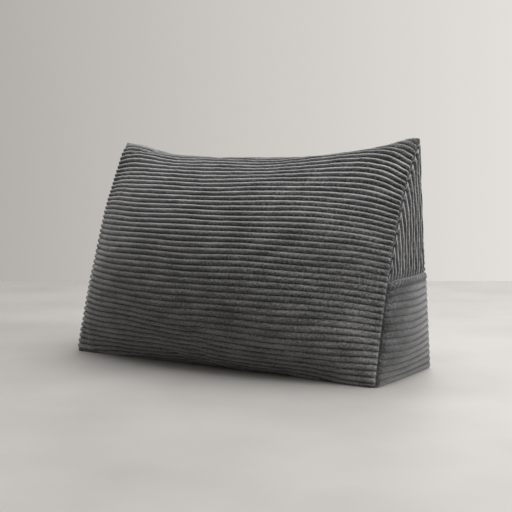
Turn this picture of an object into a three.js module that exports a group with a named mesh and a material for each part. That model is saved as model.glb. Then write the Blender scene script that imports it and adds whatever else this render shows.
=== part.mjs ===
// Triangle reading pillow: a filled wedge in wide-rib corduroy with an open pocket sewn on its right end.
// Millimetres, +Z up. X runs along the width, Y from the front to the back.
// The origin is on the floor, in the middle of the base.

import * as THREE from 'three';

// The cushion
const WIDTH = 600; // from end seam to end seam
const DEPTH = 199; // of an end panel along the floor
const EAR_HEIGHT = 382; // from the floor to the tip of a top corner
const EAR_SETBACK = 145; // from the front of the base back to that tip
const TOP_SAG = 40; // drop of the top between the two tips
const FULLNESS_POWER = 2.6; // how quickly the filling swells inwards from an end seam
const SEAM_ROLL = 8; // height of the soft roll beside a seam
const SEAM_ROLL_LENGTH = 7; // distance over which that roll rises
const EAR_PINCH_UP = 14; // the roll is pinched away beside a top corner: up and down the section,
const EAR_PINCH_ALONG = 45; // and along the top
const FOOT_TUCK = 20; // how far the belly draws the cloth back along the floor at mid-width
const FOOT_TUCK_HEIGHT = 60;
const LEFT_SPLAY = 5.5; // how far the left seam splays out towards its foot and its tip
const LEFT_WAIST = 4; // how far it is drawn in halfway up
const RIGHT_EAR_SPLAY = { reach: 3, from: 300, to: 370 }; // the right seam leans out between these heights
const LEFT_EAR_DIP = { depth: 5, along: 45, up: 60 }; // the top falls away beside the left tip
const UNEVENNESS = 1.6; // height of the soft lumps of the filling
const LUMP_WIDTH = 230;
const LUMP_LENGTH = 150;

// The ribs of the cloth
const RIB_PITCH = 9.8;
const RIB_HEIGHT = 2.2;
const RIB_FLATTENED_BELOW = 14; // ribs are pressed flat from this height down to the floor
const WRAP_RIBS = 89; // around the cushion, from under the front to under the back
const LEVEL_RIB = 25; // the rib that runs level along the front
const LEVEL_RIB_HEIGHT = 194.4;
const RIB_DROOP = 18; // how far the ribs are pulled down at the right end
const RIB_DROOP_POWER = 4;
const UPPER_RIBS = { from: 230, to: 420, fadeFrom: 450, fadeTo: 700 }; // arcs at mid-width
const UPPER_DROOP_LEFT = { lift: 6, pull: 26 }; // how ribs near the top rise and then fall towards an end
const UPPER_DROOP_RIGHT = { lift: 20, pull: 42 };
const LOWER_RIBS = { from: 140, to: 70 }; // arcs at mid-width
const LOWER_TILT = 7; // how far the lowest ribs lean down towards the right, halfway out

// The end panels
const END_CROWN = 4;
const END_CROWN_SPREAD = 0.7;
const END_SEAM_ROLL = 3;
const LEFT_CROWN_FROM = -60; // heights from which the panels swell: the right one only above its pocket
const RIGHT_CROWN_FROM = 160;

// The pocket
const POCKET_HEIGHT = 163;
const POCKET_FLOOR_GAP = 0.8;
const POCKET_THICKNESS = 2;
const POCKET_MOUTH_REACH = 11; // of the taut mouth's inner face from the plane of the end seams
const POCKET_BELLY_REACH = 15.5; // of its inner face where it hangs fullest
const POCKET_STANDOFF = 0.4; // from the end panel along the sewn edges
const POCKET_SEAM_INSET = 2.5;
const POCKET_RIBS = 15;
const POCKET_RIB_HEIGHT = 1.6;
const POCKET_RIB_EDGE = 6; // distance over which the ribs flatten into a sewn edge
const POCKET_SWELL_HEIGHT = 70; // the pocket swells from the floor seam up to here
const POCKET_SWELL_POWER = 0.8;
const POCKET_RIDGE_SHIFT = 0.75; // under 1 brings the fullest place nearer the front seam
const POCKET_RIDGE_POWER = 0.6;
const MOUTH_DIP = 7; // the mouth is pulled down where it meets the front seam
const MOUTH_DIP_SHARE = 0.1;
const HEM_RAISE = 1.7; // height of the hemmed top rib, in rib heights
const PRESSED_UNDER_POCKET = { from: 168, to: 190 }; // heights over which the end panel's ribs appear

const CORDUROY = { color: 0x4b4b4c, roughness: 0.95, metalness: 0 };

// One side of the cushion's section is a curve with four control points. At an end seam a point lies
// along the straight line from corner to corner and bows out of it. At mid-width it has its own place.
const FRONT_SIDE = [
  { along: 0, bow: 0, middleDepth: 0, middleHeight: 0 },
  { along: 1 / 3, bow: 20, middleDepth: -159, middleHeight: 131 },
  { along: 2 / 3, bow: 34, middleDepth: 20, middleHeight: 334 },
  { along: 1, bow: 0, middleDepth: 140, middleHeight: EAR_HEIGHT - TOP_SAG },
];
const BACK_SIDE = [
  { along: 0, bow: 0, middleDepth: 140, middleHeight: EAR_HEIGHT - TOP_SAG },
  { along: 1 / 3, bow: 0, middleDepth: 192, middleHeight: 346 },
  { along: 2 / 3, bow: 0, middleDepth: 226, middleHeight: 20 },
  { along: 1, bow: 0, middleDepth: 180, middleHeight: 0 },
];
const FRONT_CORNER = new THREE.Vector2(0, 0);
const EAR = new THREE.Vector2(EAR_SETBACK, EAR_HEIGHT);
const BACK_CORNER = new THREE.Vector2(DEPTH, 0);

// Points across one rib, from groove to groove
const RIB_STEPS = [
  { share: 0, raise: 0 },
  { share: 0.3, raise: 1 },
  { share: 0.7, raise: 1 },
];

// Where points are placed
const HALF_WIDTH = WIDTH / 2;
const SEAM_DISTANCES = [0, 4, 12, 36, 80, 145, 220]; // columns of the wrap, from a seam to mid-width
const BASE_STEPS = 6; // across the flat base
const END_LEVELS = [4, 14, 40, 80, 120, 160, 200, 240, 280, 320, 350]; // heights along an end panel's ribs
const END_RIB_STOP = 14; // an end panel's rib stops this far below the front seam
const END_RIB_SHORTEST = 24; // no rib is shown where the panel is lower than this
const POCKET_COLUMNS = [0, 0.03, 0.08, 0.16, 0.26, 0.38, 0.52, 0.66, 0.8, 0.9, 0.96, 1];
const BISECTIONS = 40;

// Share of a roll's full height at a distance from its seam.
const rollShare = (distance) => 1 - Math.exp(-Math.max(0, distance) / SEAM_ROLL_LENGTH);

// Share from 0 to 1 between two values, easing in and out.
const easeBetween = (value, from, to) => THREE.MathUtils.smoothstep(value, from, to);

// The share from 0 to 1 at which a rising function reaches a target.
function shareWhere(risingFunction, target) {
  let low = 0;
  let high = 1;
  for (let step = 0; step < BISECTIONS; step += 1) {
    const middle = (low + high) / 2;
    if (risingFunction(middle) < target) low = middle;
    else high = middle;
  }
  return (low + high) / 2;
}

// A side of the section, from its seam form (fullness 0) to its form at mid-width (fullness 1).
// Its two coordinates are depth behind the front corner, and height.
function sideCurve(side, start, end, fullness) {
  const chord = end.clone().sub(start);
  const outward = new THREE.Vector2(-chord.y, chord.x).normalize();
  const controls = side.map(({ along, bow, middleDepth, middleHeight }) => {
    const seamPoint = start.clone().addScaledVector(chord, along).addScaledVector(outward, bow);
    return seamPoint.lerp(new THREE.Vector2(middleDepth, middleHeight), fullness);
  });
  return new THREE.CubicBezierCurve(...controls);
}

// The section at a place across the width: -1 at the left seam, 1 at the right seam.
function sectionAt(across) {
  const fullness = 1 - Math.abs(across) ** FULLNESS_POWER;
  const front = sideCurve(FRONT_SIDE, FRONT_CORNER, EAR, fullness);
  const back = sideCurve(BACK_SIDE, EAR, BACK_CORNER, fullness);
  const frontLength = front.getLength();
  const backLength = back.getLength();
  const levelHeight = LEVEL_RIB_HEIGHT - RIB_DROOP * Math.max(0, across) ** RIB_DROOP_POWER;
  const levelArc = frontLength * shareWhere((share) => front.getPointAt(share).y, levelHeight);
  return { across, fullness, front, back, frontLength, backLength, levelArc };
}

// How far a rib runs off its even distance from the level one. Its place is its arc at mid-width.
function ribDrift(across, place) {
  const { lift, pull } = across < 0 ? UPPER_DROOP_LEFT : UPPER_DROOP_RIGHT;
  const { from, to, fadeFrom, fadeTo } = UPPER_RIBS;
  const upper = easeBetween(place, from, to) - easeBetween(place, fadeFrom, fadeTo);
  const lower = 1 - easeBetween(place, LOWER_RIBS.to, LOWER_RIBS.from);
  const upperDrift = upper * across ** 2 * (lift - pull * across ** 4);
  return upperDrift - LOWER_TILT * lower * Math.sin(Math.PI * across);
}

const LEVEL_RIB_ARC = sectionAt(0).levelArc;

// How far an end seam stands out of its plane at a height.
const leftSplay = (z) => (LEFT_SPLAY + LEFT_WAIST) * ((2 * z) / EAR_HEIGHT - 1) ** 2 - LEFT_WAIST;
const rightSplay = (z) => RIGHT_EAR_SPLAY.reach * easeBetween(z, RIGHT_EAR_SPLAY.from, RIGHT_EAR_SPLAY.to);
const seamSplay = (side, z) => (side < 0 ? leftSplay(z) : rightSplay(z));

// How far the top is drawn down beside the left tip, at a distance from the seam and from the ridge.
function earDip(fromSeam, fromRidge) {
  const { depth, along, up } = LEFT_EAR_DIP;
  return depth * (fromSeam / along) * Math.exp(1 - fromSeam / along - fromRidge / up);
}

// A point of the wrap that goes from under the front, over the top, to under the back. Ribs lie one pitch
// apart along the section. What passes a bottom edge lies flat on the floor.
function wrapPoint(section, rib, raise) {
  const { across, fullness, front, back, frontLength, backLength } = section;
  const x = across * HALF_WIDTH;
  const fromLevel = (rib - LEVEL_RIB) * RIB_PITCH;
  const arc = section.levelArc + fromLevel + ribDrift(across, LEVEL_RIB_ARC + fromLevel);
  const pastBack = arc - frontLength - backLength;
  const fromSeam = HALF_WIDTH - Math.abs(x);
  const fromRidge = Math.abs(arc - frontLength);
  const tuck = FOOT_TUCK * fullness;
  const place = (depth, z) => new THREE.Vector3(x + across * seamSplay(across, z), depth - DEPTH / 2, z);
  if (arc <= 0) return place(front.v0.x - arc + tuck, 0);
  if (pastBack >= 0) return place(back.v3.x - pastBack, 0);
  const onFront = arc < frontLength;
  const side = onFront ? front : back;
  const share = onFront ? arc / frontLength : (arc - frontLength) / backLength;
  const point = side.getPointAt(share);
  const tangent = side.getTangentAt(share);
  const outward = new THREE.Vector2(-tangent.y, tangent.x);
  const lump = Math.sin((2 * Math.PI * x) / LUMP_WIDTH) * Math.sin((2 * Math.PI * arc) / LUMP_LENGTH);
  const offFloor = easeBetween(point.y, 0, RIB_FLATTENED_BELOW);
  const pinch = Math.exp(-fromRidge / EAR_PINCH_UP - fromSeam / EAR_PINCH_ALONG);
  const roll = (SEAM_ROLL + UNEVENNESS * lump * offFloor) * (1 - pinch);
  const tuckedIn = onFront ? tuck * (1 - easeBetween(point.y, 0, FOOT_TUCK_HEIGHT)) : 0;
  const dip = across < 0 ? earDip(fromSeam, fromRidge) : 0;
  point.addScaledVector(outward, (roll + RIB_HEIGHT * raise * offFloor) * rollShare(fromSeam));
  return place(point.x + tuckedIn, Math.max(0, point.y - dip));
}

// A closed skin of triangles, gathered point by point.
class Skin {
  points = [];
  faces = [];

  add(point) {
    this.points.push(point);
    return this.points.length - 1;
  }

  quad(a, b, c, d) {
    this.faces.push([a, b, c], [a, c, d]);
  }

  // Triangles between two chains of points that advance together by a key. The first chain lies to the
  // left of the way they run, seen from outside. Chains may share their last point.
  zip(left, right, key, flip) {
    let i = 0;
    let j = 0;
    while (i < left.length - 1 || j < right.length - 1) {
      const leftNext = i < left.length - 1 ? key(this.points[left[i + 1]]) : Infinity;
      const rightNext = j < right.length - 1 ? key(this.points[right[j + 1]]) : Infinity;
      const third = leftNext < rightNext ? left[i + 1] : right[j + 1];
      const face = [left[i], right[j], third];
      if (leftNext < rightNext) i += 1;
      else j += 1;
      if (new Set(face).size === 3) this.faces.push(flip ? face.reverse() : face);
    }
  }

  geometry() {
    const geometry = new THREE.BufferGeometry().setFromPoints(this.points);
    geometry.setIndex(this.faces.flat());
    geometry.computeVertexNormals();
    return geometry;
  }
}

// An end panel's outline is the seam section. These give its front and back edge at a height.
const seamFront = sideCurve(FRONT_SIDE, FRONT_CORNER, EAR, 0);
const seamBack = sideCurve(BACK_SIDE, EAR, BACK_CORNER, 0);
const frontDepthAt = (z) => seamFront.getPoint(shareWhere((share) => seamFront.getPoint(share).y, z)).x;
const backDepthAt = (z) => seamBack.getPoint(shareWhere((share) => -seamBack.getPoint(share).y, -z)).x;
const panelWidthAt = (z) => backDepthAt(z) - frontDepthAt(z);

// How far an end panel stands out from the plane of its seams, without its ribs.
function endBulge(side, depth, z) {
  const fromFront = depth - frontDepthAt(z);
  const fromBack = backDepthAt(z) - depth;
  const acrossShare = THREE.MathUtils.clamp(fromFront / (fromFront + fromBack), 0, 1);
  const crownFrom = side > 0 ? RIGHT_CROWN_FROM : LEFT_CROWN_FROM;
  const crownShare = Math.max(0, z - crownFrom) / (EAR_HEIGHT - crownFrom);
  const crownUp = Math.sin(Math.PI * crownShare) ** 2;
  const crownAcross = (4 * acrossShare * (1 - acrossShare)) ** END_CROWN_SPREAD;
  const roll = rollShare(fromFront) * rollShare(fromBack) * rollShare(z);
  return END_CROWN * crownUp * crownAcross + END_SEAM_ROLL * roll;
}

// A point of an end panel on the rib line that lies a distance in front of the back seam.
function endPoint(side, fromBack, z, raise) {
  const depth = backDepthAt(z) - fromBack;
  const { from, to } = PRESSED_UNDER_POCKET;
  const shown = side > 0 ? easeBetween(z, from, to) : 1;
  const nearSeam = rollShare(depth - frontDepthAt(z)) * rollShare(fromBack) * rollShare(z);
  const bulge = endBulge(side, depth, z) + RIB_HEIGHT * raise * shown * nearSeam;
  return new THREE.Vector3(side * (HALF_WIDTH + seamSplay(side, z) + bulge), depth - DEPTH / 2, z);
}

// Closes one end. The panel's ribs rise from the floor edge, parallel to the back seam, until the sloping
// front seam cuts them off. The seam loop holds the wrap's end points, from under the front, over the tip.
function closeEnd(skin, side, seamLoop, baseLoop) {
  const flip = side < 0;
  const height = (point) => point.z;
  const depth = (point) => point.y;
  const heightOf = (index) => skin.points[index].z;
  const higher = (best, index, i) => (heightOf(index) > heightOf(seamLoop[best]) ? i : best);
  const tip = seamLoop.reduce(higher, 0);
  const firstUp = seamLoop.findIndex((index) => heightOf(index) > 0);
  const lastUp = seamLoop.findLastIndex((index) => heightOf(index) > 0);
  const frontSeam = seamLoop.slice(firstUp, tip + 1);
  const backSeam = seamLoop.slice(tip, lastUp + 1).reverse();
  const underFront = seamLoop.slice(0, firstUp + 1).reverse();
  const underBack = seamLoop.slice(lastUp).reverse();
  const floorEdge = [...underFront, ...baseLoop, ...underBack];

  const fromBackSeam = frontSeam.map((index) => {
    const { y, z } = skin.points[index];
    return backDepthAt(z) - (y + DEPTH / 2);
  });

  // Rib lines from the back seam towards the front corner
  const lines = [];
  for (let rib = 0; rib * RIB_PITCH < DEPTH; rib += 1) {
    for (const { share, raise } of RIB_STEPS) {
      const fromBack = (rib + share) * RIB_PITCH;
      const top = fromBackSeam.findIndex((distance) => distance <= fromBack);
      const topHeight = top < 0 ? 0 : heightOf(frontSeam[top]);
      if (topHeight > END_RIB_SHORTEST) {
        const levels = END_LEVELS.filter((z) => z < topHeight - END_RIB_SHORTEST);
        const heights = [...levels, topHeight - END_RIB_STOP];
        const indices = heights.map((z) => skin.add(endPoint(side, fromBack, z, raise)));
        lines.push({ indices, top });
      }
    }
  }

  // The strip along the back seam, the strips between the lines, and the corner in front of the last one
  const chainUp = (line, seamTop) => [...line.indices, ...frontSeam.slice(line.top, seamTop + 1)];
  skin.zip(chainUp(lines[0], frontSeam.length - 1), backSeam, height, flip);
  for (let i = 1; i < lines.length; i += 1) {
    const behind = chainUp(lines[i - 1], lines[i - 1].top);
    skin.zip(chainUp(lines[i], lines[i - 1].top), behind, height, flip);
  }
  const foremost = lines.at(-1);
  skin.zip(frontSeam.slice(0, foremost.top + 1), chainUp(foremost, foremost.top), height, flip);

  // The strip along the floor
  const feet = [frontSeam[0], ...lines.map((line) => line.indices[0]).reverse(), backSeam[0]];
  skin.zip(feet, floorEdge, depth, flip);
}

function cushionGeometry() {
  const skin = new Skin();
  const leftColumns = SEAM_DISTANCES.map((distance) => distance / HALF_WIDTH - 1);
  const columns = [...leftColumns, 0, ...leftColumns.map((across) => -across).reverse()];
  const sections = columns.map(sectionAt);

  const rows = [];
  for (let rib = 0; rib < WRAP_RIBS; rib += 1) {
    for (const { share, raise } of RIB_STEPS) {
      rows.push(sections.map((section) => skin.add(wrapPoint(section, rib + share, raise))));
    }
  }
  rows.push(sections.map((section) => skin.add(wrapPoint(section, WRAP_RIBS, 0))));

  // The flat base runs from under the back to under the front
  const wrapRows = rows.length;
  for (let step = 1; step < BASE_STEPS; step += 1) {
    const row = columns.map((across, column) => {
      const back = skin.points[rows[wrapRows - 1][column]];
      const front = skin.points[rows[0][column]];
      return skin.add(back.clone().lerp(front, step / BASE_STEPS));
    });
    rows.push(row);
  }

  rows.forEach((row, i) => {
    const next = rows[(i + 1) % rows.length];
    for (let column = 0; column < columns.length - 1; column += 1) {
      skin.quad(row[column], row[column + 1], next[column + 1], next[column]);
    }
  });

  for (const [side, column] of [[-1, 0], [1, columns.length - 1]]) {
    const seamLoop = rows.slice(0, wrapRows).map((row) => row[column]);
    const baseLoop = rows.slice(wrapRows).map((row) => row[column]).reverse();
    closeEnd(skin, side, seamLoop, baseLoop);
  }
  return skin.geometry();
}

// A point of the pocket: across its width from the front seam to the back seam, up from its bottom edge to
// its mouth, and out from its inner face.
function pocketPoint(acrossShare, upShare, raise, outer) {
  const mouth = POCKET_HEIGHT - MOUTH_DIP * Math.exp(-acrossShare / MOUTH_DIP_SHARE);
  const z = POCKET_FLOOR_GAP + (mouth - POCKET_FLOOR_GAP) * upShare;
  const sewnWidth = panelWidthAt(z) - 2 * POCKET_SEAM_INSET;
  const depth = frontDepthAt(z) + POCKET_SEAM_INSET + sewnWidth * acrossShare;
  const swellAcross = Math.sin(Math.PI * acrossShare ** POCKET_RIDGE_SHIFT) ** POCKET_RIDGE_POWER;
  const swellUp = Math.sin((Math.PI / 2) * Math.min(1, z / POCKET_SWELL_HEIGHT)) ** POCKET_SWELL_POWER;
  const bellyShare = Math.sin(Math.PI * Math.min(1, z / POCKET_HEIGHT));
  const reach = THREE.MathUtils.lerp(POCKET_MOUTH_REACH, POCKET_BELLY_REACH, bellyShare);
  const sewn = endBulge(1, depth, z) + POCKET_STANDOFF;
  const inner = THREE.MathUtils.lerp(sewn, reach, (swellAcross || 0) * swellUp);
  const toSide = sewnWidth * Math.min(acrossShare, 1 - acrossShare);
  const fade = easeBetween(Math.min(toSide, z), 0, POCKET_RIB_EDGE);
  const relief = outer ? POCKET_THICKNESS + POCKET_RIB_HEIGHT * raise * fade : 0;
  return new THREE.Vector3(HALF_WIDTH + inner + relief, depth - DEPTH / 2, z);
}

function pocketGeometry() {
  const skin = new Skin();
  const levels = [];
  for (let rib = 0; rib < POCKET_RIBS; rib += 1) {
    const hem = rib === POCKET_RIBS - 1 ? HEM_RAISE : 1;
    for (const { share, raise } of RIB_STEPS) {
      levels.push({ up: (rib + share) / POCKET_RIBS, raise: raise * hem });
    }
  }
  levels.push({ up: 1, raise: 0 });

  const faceRows = (outer) =>
    levels.map(({ up, raise }) =>
      POCKET_COLUMNS.map((across) => skin.add(pocketPoint(across, up, raise, outer))));
  const outerRows = faceRows(true);
  const innerRows = faceRows(false);
  const lastRow = levels.length - 1;
  const lastColumn = POCKET_COLUMNS.length - 1;

  for (let i = 0; i < lastRow; i += 1) {
    for (let j = 0; j < lastColumn; j += 1) {
      skin.quad(outerRows[i][j], outerRows[i][j + 1], outerRows[i + 1][j + 1], outerRows[i + 1][j]);
      skin.quad(innerRows[i][j], innerRows[i + 1][j], innerRows[i + 1][j + 1], innerRows[i][j + 1]);
    }
    skin.quad(innerRows[i][0], outerRows[i][0], outerRows[i + 1][0], innerRows[i + 1][0]);
    const [outerLow, outerHigh] = [outerRows[i][lastColumn], outerRows[i + 1][lastColumn]];
    skin.quad(outerLow, innerRows[i][lastColumn], innerRows[i + 1][lastColumn], outerHigh);
  }
  for (let j = 0; j < lastColumn; j += 1) {
    skin.quad(innerRows[0][j], innerRows[0][j + 1], outerRows[0][j + 1], outerRows[0][j]);
    const [mouthOuter, mouthInner] = [outerRows[lastRow], innerRows[lastRow]];
    skin.quad(mouthOuter[j], mouthOuter[j + 1], mouthInner[j + 1], mouthInner[j]);
  }
  return skin.geometry();
}

function clothMesh(name, geometry) {
  const mesh = new THREE.Mesh(geometry, new THREE.MeshStandardMaterial(CORDUROY));
  mesh.name = name;
  return mesh;
}

const pillow = new THREE.Group();
pillow.add(clothMesh('cushion_body', cushionGeometry()));
pillow.add(clothMesh('side_pocket', pocketGeometry()));

export default pillow;
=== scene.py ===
import math

import bpy
import numpy as np
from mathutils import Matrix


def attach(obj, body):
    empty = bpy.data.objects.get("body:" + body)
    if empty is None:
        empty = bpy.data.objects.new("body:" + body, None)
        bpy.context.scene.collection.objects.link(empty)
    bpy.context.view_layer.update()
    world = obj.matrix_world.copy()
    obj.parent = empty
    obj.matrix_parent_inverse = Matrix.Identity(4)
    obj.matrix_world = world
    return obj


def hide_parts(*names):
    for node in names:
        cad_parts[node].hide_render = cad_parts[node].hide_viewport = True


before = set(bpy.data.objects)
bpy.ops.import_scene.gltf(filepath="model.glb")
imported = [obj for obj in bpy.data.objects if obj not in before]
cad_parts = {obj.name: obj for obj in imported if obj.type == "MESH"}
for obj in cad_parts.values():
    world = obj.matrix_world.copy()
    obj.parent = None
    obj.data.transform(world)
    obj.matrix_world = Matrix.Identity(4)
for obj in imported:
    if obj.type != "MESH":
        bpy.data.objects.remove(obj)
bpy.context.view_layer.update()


# The wrap: one length of wide-rib corduroy that goes from under the front, over the top, to under the back.
# Its ribs run along the width. The filling swells it between the two end seams, which hold it in.

HALF_WIDTH = 0.300  # metres, from mid-width to an end seam
DEPTH = 0.199  # of an end panel along the floor
EAR_HEIGHT = 0.382  # of a top corner
EAR_SETBACK = 0.145  # of a top corner behind the front of the base
TOP_SAG = 0.030  # drop of the top between its two corners, before the filling pushes the wrap out
FULLNESS_POWER = 2.6  # how quickly the filling swells inwards from a seam
TUCK = 0.090  # length of wrap that may lie under the cushion at the front and at the back

RIB_PITCH = 0.0098  # from groove to groove
RIB_HEIGHT = 0.0034
RIB_FLATNESS = 0.6  # under 1 makes a broad rib with a narrow groove
HIGHLIGHT_SIDE = 0.76  # painted highlight: each rib is palest here, between its two grooves, where light from above catches it,
HIGHLIGHT_POWER = 4  # and at least half as pale as that over about a quarter of its width
HIGHLIGHT_PALENESS = 1.0  # paleness that the painted highlight adds there
TOP_LIT_FLAT = 0.04  # paleness of the rest of a rib where the painted highlight is full: painted shade on its flat
EVEN_LIT_FLAT = 0.36  # paleness of a rib with no painted highlight, drawn evenly lit
RIDGE_HIGHLIGHT_CUT = 0.60  # share of the painted highlight taken off along the top and down the back
RIDGE_PAINT_REACH = 0.026  # how far that and the painted shade along the top reach down the front from the top
RIDGE_PAINTED_SHADE = 0.5  # painted shade: share of the paleness taken off along the top
RIGHT_HIGHLIGHT_CUT = 0.05  # share of the painted highlight taken off at the right end,
RIGHT_HIGHLIGHT_CUT_FROM = 0.3  # starting at this share of the way there from mid-width
HIGHLIGHT_HEIGHTS = (-0.09, 0.43)  # heights over which the ribs change from even paleness to the painted highlight and top-lit flat shade
RIB_FLATTENED_BELOW = 0.006  # the floor presses the ribs flat from this height down, and painted contact shade darkens them there
WRAP_RIBS = 89  # from under the front to under the back
LEVEL_RIB = 25  # the rib that runs level along the front
LEVEL_RIB_HEIGHT = 0.1944
RIB_DROOP = 0.018  # how far the ribs are pulled down at the right seam
RIB_DROOP_POWER = 4
UPPER_LIFT = (0.006, 0.020)  # how far the ribs near the top first rise towards the left and the right end
UPPER_PULL = (0.026, 0.042)  # and then fall
UPPER_RIBS = (0.230, 0.420, 0.450, 0.700)  # arcs at mid-width over which that comes and goes
LOWER_TILT = 0.007  # how far the lowest ribs lean down towards the right, halfway out
LOWER_RIBS = (0.070, 0.140)  # arcs at mid-width over which that lean ends
RIB_WAVER = 0.0003  # how far each groove wavers on its own,
RIB_WAVER_LENGTHS = (0.31, 0.17, 0.09)
RIB_WAVER_SEED = 11
CLOTH_WAVER = 0.0010  # and neighbouring ribs together,
CLOTH_WAVER_LENGTH = 0.21  # in waves along them
CLOTH_WAVER_SLANT = 31  # that lean by one wave over so many ribs,
CLOTH_WAVER_SPREAD = 23  # and grow and fade over so many,
CLOTH_WAVER_START = 1.0  # from this angle on
SLACK_POWER = 6  # how quickly the seams still that wavering
RIB_SIZE_WAVER = 0.16  # share by which the height of a rib varies
RIB_SIZE_LENGTHS = (0.11, 0.043, 0.021)
RIB_SIZE_SEED = 12
RIB_ROWS = np.array([0, 0.08, 0.22, 0.40, 0.60, 0.78, 0.92])  # grid rows across one rib

LOOSE_ROLL = 0.005  # height of the soft roll beside a seam before the filling pushes it out
SEAM_ROLL_LENGTH = 0.007
EAR_PINCH_UP = 0.014  # the roll is pinched away beside a top corner: up and down the section,
EAR_PINCH_ALONG = 0.045  # and along the top
FOOT_TUCK = 0.020  # how far the belly draws the cloth back along the floor at mid-width
FOOT_TUCK_HEIGHT = 0.060  # up to which it does
FOOT_TUCK_POWER = 1.5  # how quickly that grows inwards from a seam
LEFT_SPLAY = 0.0055  # how far the left seam splays out towards its foot and its tip
LEFT_WAIST = 0.0025  # how far it is drawn in halfway up
RIGHT_EAR_SPLAY = 0.0030  # how far the right seam leans out at its tip
RIGHT_EAR_HEIGHTS = (0.300, 0.370)
RIGHT_EAR_RISE = 0.0035  # how far the top swells beside the right tip,
RIGHT_EAR_RISE_ALONG = 0.020  # most of all at this distance from the seam,
RIGHT_EAR_RISE_UP = 0.030  # and how far that reaches down the front and the back
RIB_END_LENGTH = 0.0022  # over which a rib's rounded end rises from a seam
RIB_END_REACH = 0.0052  # how far a rib's end is pushed out over a seam,
RIB_END_PEAK = 0.0025  # most of all at this distance from it
SEAM_DARK_LENGTH = 0.0007  # over which the pile hides the dark of a seam
TIP_FLAT = (0.012, 0.030)  # over which ribs rise again from a flattened tip, up and down and along the top
RIDGE_FLATTENED = 0.5  # share of a rib's height lost where the top turns over to the back
RIDGE_REACH = 0.015  # how far from there that goes
LUMP_HEIGHT = 0.0016  # of the soft lumps of the filling
LUMP_SIZE = (0.230, 0.150)  # from one lump to the next, along the width and along the wrap
SAMPLES_PER_SIDE = 400  # of a section's front, and of its back
SLOPE_REACH = 0.0015  # arc to each side over which a section's slope is read
COLUMNS_APART = 10.0  # more than any arc, so that columns set end to end stay apart
HALF_COLUMNS = 65
COLUMN_CROWDING = 1.5  # over 1 sets the columns closer together near the seams
BASE_ROWS = 6

LOOSE_COLUMNS = 61  # of the coarse grid that the filling pushes out
LOOSE_STEP = 7  # section samples between two of its rows
LOOSE_SPLIT = 4  # steps between two of its rows when it is read
HELD_BELOW = 0.001  # the floor holds what is lower than this
CLOTH_STEPS = 20
CLOTH_LIMIT = 0.008  # farthest that the filling pushes the wrap
CLOTH_SETTINGS = {
    "quality": 6,
    "mass": 0.3,
    "tension_stiffness": 40,
    "compression_stiffness": 40,
    "shear_stiffness": 20,
    "bending_stiffness": 0.5,
    "vertex_group_mass": "held",
    "use_pressure": True,
    "uniform_pressure_force": 4,
    "shrink_min": -0.004,
}

# Control points of the section's two sides: share along the straight seam from corner to corner, bow out of
# that line at a seam, and depth and height at mid-width.
FRONT_SIDE = np.array([
    (0, 0, 0, 0),
    (1 / 3, 0.020, -0.159, 0.131),
    (2 / 3, 0.034, 0.023, 0.331),
    (1, 0, 0.140, EAR_HEIGHT - TOP_SAG),
])
BACK_SIDE = np.array([
    (0, 0, 0.140, EAR_HEIGHT - TOP_SAG),
    (1 / 3, 0, 0.192, 0.346),
    (2 / 3, 0, 0.220, 0.020),
    (1, 0, 0.180, 0),
])
FRONT_CORNER = np.array([0, 0])
EAR = np.array([EAR_SETBACK, EAR_HEIGHT])
BACK_CORNER = np.array([DEPTH, 0])


def ease(value, start, stop):
    """Rises from 0 at start to 1 at stop as three times the share squared less twice its cube."""
    share = np.clip((value - start) / (stop - start), 0, 1)
    return share * share * (3 - 2 * share)


def roll_rise(distance, length=SEAM_ROLL_LENGTH):
    """Share of a roll's height at a distance from its seam: one less the exponential of minus the
    distance divided by a length."""
    return 1 - np.exp(-np.maximum(distance, 0) / length)


def rib_profile(place):
    """Height of a rib from groove (0) to crest (1), for a place counted in ribs: the sine of half a turn
    for each rib, taken as positive, to a power."""
    return np.abs(np.sin(np.pi * place)) ** RIB_FLATNESS


def rib_tone_and_painted_light(place, highlight_share, side=HIGHLIGHT_SIDE):
    """How pale a rib is drawn, for a place counted in ribs and a share of painted highlight: its height
    times the sum of a flat and an edge. The height is 0 in the grooves, painted groove shade as well as the
    cloth's own darker groove. The flat goes from the painted shade of a top-lit flat to the evenly lit
    paleness with the cube of the share left out. The edge is the painted highlight of light from above on
    the rib's upper
    edge: half of one plus the cosine of the turn from the rib's pale side, to a power, times the cube of
    the share."""
    edge = (0.5 + 0.5 * np.cos(2 * np.pi * (place - side))) ** HIGHLIGHT_POWER
    flat = TOP_LIT_FLAT + (EVEN_LIT_FLAT - TOP_LIT_FLAT) * (1 - highlight_share) ** 3
    return rib_profile(place) * (flat + HIGHLIGHT_PALENESS * highlight_share**3 * edge)


def side_curves(controls, start, stop, fullness):
    """One cubic curve for each fullness, as depth and height. A control point moves in a straight line
    from its place on the bowed seam, where fullness is 0, to its place at mid-width, where it is 1."""
    chord = stop - start
    outward = np.array([-chord[1], chord[0]]) / np.hypot(*chord)
    seam = start + controls[:, 0:1] * chord + controls[:, 1:2] * outward
    placed = seam + fullness[:, None, None] * (controls[:, 2:] - seam)
    share = np.linspace(0, 1, SAMPLES_PER_SIDE)
    rest = 1 - share
    weights = np.stack([rest**3, 3 * rest**2 * share, 3 * rest * share**2, share**3])
    return np.einsum("cpk,ps->csk", placed, weights)


def read_columns(places, knots, values):
    """Reads a curve of its own for each column. The columns' knots are set end to end, far apart, so that
    one linear interpolation reads them all."""
    apart = COLUMNS_APART * np.arange(len(knots))
    read = np.interp((places + apart).ravel(), (knots + apart[:, None]).ravel(), values.ravel())
    return read.reshape(places.shape)


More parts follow.
